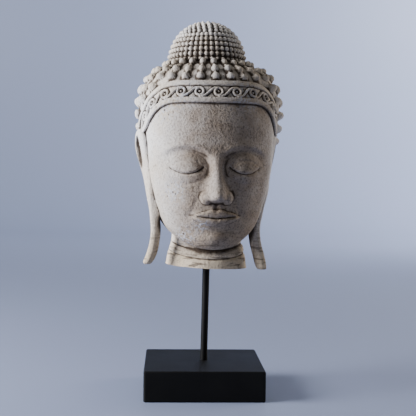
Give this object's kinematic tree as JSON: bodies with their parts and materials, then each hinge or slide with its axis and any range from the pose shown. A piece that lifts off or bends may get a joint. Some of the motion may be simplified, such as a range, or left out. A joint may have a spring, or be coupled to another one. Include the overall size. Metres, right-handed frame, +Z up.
{
  "type": "stone buddha head",
  "caption": "Life-size stone buddha head with curled hair, a scroll band, a studded crown dome and long ear lobes, held by a black rod on a square black plinth.",
  "frame": {"origin": "centre of the plinth's underside", "axes": "+Z up, the face looks towards -Y, +X is to the right of someone who looks at the face"},
  "size_m": [0.17, 0.1959, 0.412],
  "materials": {
    "black_lacquer": "matt black lacquer over wood",
    "black_iron": "matt black paint",
    "cast_stone": "weathered cast stone, pale grey-beige, with brown dirt in the hollows"
  },
  "bodies": {
    "root": {"plinth": "black_lacquer", "rod": "black_iron", "head": "cast_stone"}
  },
  "joints": []
}
